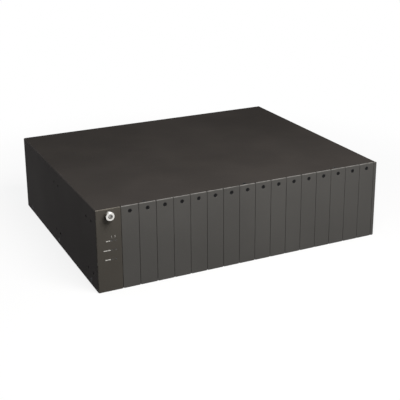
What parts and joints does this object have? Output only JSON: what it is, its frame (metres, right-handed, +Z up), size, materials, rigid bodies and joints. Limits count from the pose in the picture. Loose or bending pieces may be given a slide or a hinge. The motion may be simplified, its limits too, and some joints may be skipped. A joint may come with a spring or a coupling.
{
  "type": "media converter chassis",
  "caption": "Low black rack chassis whose narrow converter slots are closed by blank plates, with a slide-out control module, redundant power modules and rear fans.",
  "frame": {"origin": "centre of the footprint, on the surface that the chassis stands on", "axes": "+X to the right seen from the front, +Y from the front plates to the rear, +Z up"},
  "size_m": [0.44, 0.3922, 0.117],
  "materials": {
    "powder_black": "fine-textured black powder coat",
    "plate_black": "fine-textured charcoal powder coat",
    "zinc_steel": "zinc-plated sheet",
    "nickel": "bright nickel plate",
    "screw_black": "black oxide",
    "board_green": "solder mask",
    "socket_black": "moulded plastic",
    "fan_black": "moulded plastic",
    "lamp_lens": "unlit lamp lens"
  },
  "bodies": {
    "chassis": {"base_tray": "powder_black", "rear_panel": "powder_black", "top_cover": "powder_black", "front_top_rail": "powder_black", "front_bottom_rail": "powder_black", "front_edge_strip": "plate_black", "bay_divider": "zinc_steel", "card_guide_bottom": "zinc_steel", "card_guide_top": "zinc_steel", "backplane_bracket": "zinc_steel", "backplane_board": "board_green", "slot_power_plugs": "socket_black", "backplane_sockets": "socket_black", "backplane_screws": "zinc_steel", "slot_blank_01": "plate_black", "slot_blank_02": "plate_black", "slot_blank_03": "plate_black", "slot_blank_04": "plate_black", "slot_blank_05": "plate_black", "slot_blank_06": "plate_black", "slot_blank_07": "plate_black", "slot_blank_08": "plate_black", "slot_blank_09": "plate_black", "slot_blank_10": "plate_black", "slot_blank_11": "plate_black", "slot_blank_12": "plate_black", "slot_blank_13": "plate_black", "slot_blank_14": "plate_black", "slot_blank_15": "plate_black", "slot_blank_16": "plate_black", "blank_screws": "screw_black", "cover_screws": "screw_black", "psu_bay_1": "zinc_steel", "psu_bay_2": "zinc_steel", "fan_1_frame": "fan_black", "fan_2_frame": "fan_black", "fan_guards": "nickel", "fan_screws": "zinc_steel"},
    "control_module": {"control_panel": "plate_black", "control_carrier": "zinc_steel", "led_board": "board_green", "status_leds": "lamp_lens", "thumbscrew_ferrule": "nickel"},
    "front_thumbscrew": {"front_thumbscrew": "nickel"},
    "psu_1": {"psu_1_case": "zinc_steel", "psu_1_lid": "zinc_steel", "psu_1_board": "board_green", "psu_1_inlet": "socket_black", "psu_1_handle": "nickel"},
    "psu_1_rocker": {"psu_1_rocker": "socket_black"},
    "psu_1_thumbscrew": {"psu_1_thumbscrew": "nickel"},
    "fan_1_rotor": {"fan_1_rotor": "fan_black"},
    "psu_2": {"psu_2_case": "zinc_steel", "psu_2_lid": "zinc_steel", "psu_2_board": "board_green", "psu_2_inlet": "socket_black", "psu_2_handle": "nickel"},
    "psu_2_rocker": {"psu_2_rocker": "socket_black"},
    "psu_2_thumbscrew": {"psu_2_thumbscrew": "nickel"},
    "fan_2_rotor": {"fan_2_rotor": "fan_black"}
  },
  "joints": [
    {"name": "control_module_slide", "type": "slide", "parent": "chassis", "child": "control_module", "axis": [0, -1, 0], "range_m": [0, 0.12]},
    {"name": "front_thumbscrew_turn", "type": "hinge", "parent": "control_module", "child": "front_thumbscrew", "pos_m": [-0.2025, -0.1876, 0.1092], "axis": [0, -1, 0], "continuous": true},
    {"name": "psu_1_slide", "type": "slide", "parent": "chassis", "child": "psu_1", "axis": [0, 1, 0], "range_m": [0, 0.19]},
    {"name": "psu_1_rocker_tilt", "type": "hinge", "parent": "psu_1", "child": "psu_1_rocker", "pos_m": [-0.178, 0.1693, 0.0715], "axis": [0, 0, 1], "range_deg": [0, 20]},
    {"name": "psu_1_thumbscrew_turn", "type": "hinge", "parent": "psu_1", "child": "psu_1_thumbscrew", "pos_m": [-0.2085, 0.1701, 0.0925], "axis": [0, 1, 0], "continuous": true},
    {"name": "fan_1_spin", "type": "hinge", "parent": "chassis", "child": "fan_1_rotor", "pos_m": [-0.042, 0.1672, 0.0585], "axis": [0, 1, 0], "continuous": true},
    {"name": "psu_2_slide", "type": "slide", "parent": "chassis", "child": "psu_2", "axis": [0, 1, 0], "range_m": [0, 0.19]},
    {"name": "psu_2_rocker_tilt", "type": "hinge", "parent": "psu_2", "child": "psu_2_rocker", "pos_m": [0.122, 0.1693, 0.0715], "axis": [0, 0, 1], "range_deg": [0, 20]},
    {"name": "psu_2_thumbscrew_turn", "type": "hinge", "parent": "psu_2", "child": "psu_2_thumbscrew", "pos_m": [0.0915, 0.1701, 0.0925], "axis": [0, 1, 0], "continuous": true},
    {"name": "fan_2_spin", "type": "hinge", "parent": "chassis", "child": "fan_2_rotor", "pos_m": [0.042, 0.1672, 0.0585], "axis": [0, 1, 0], "continuous": true}
  ]
}
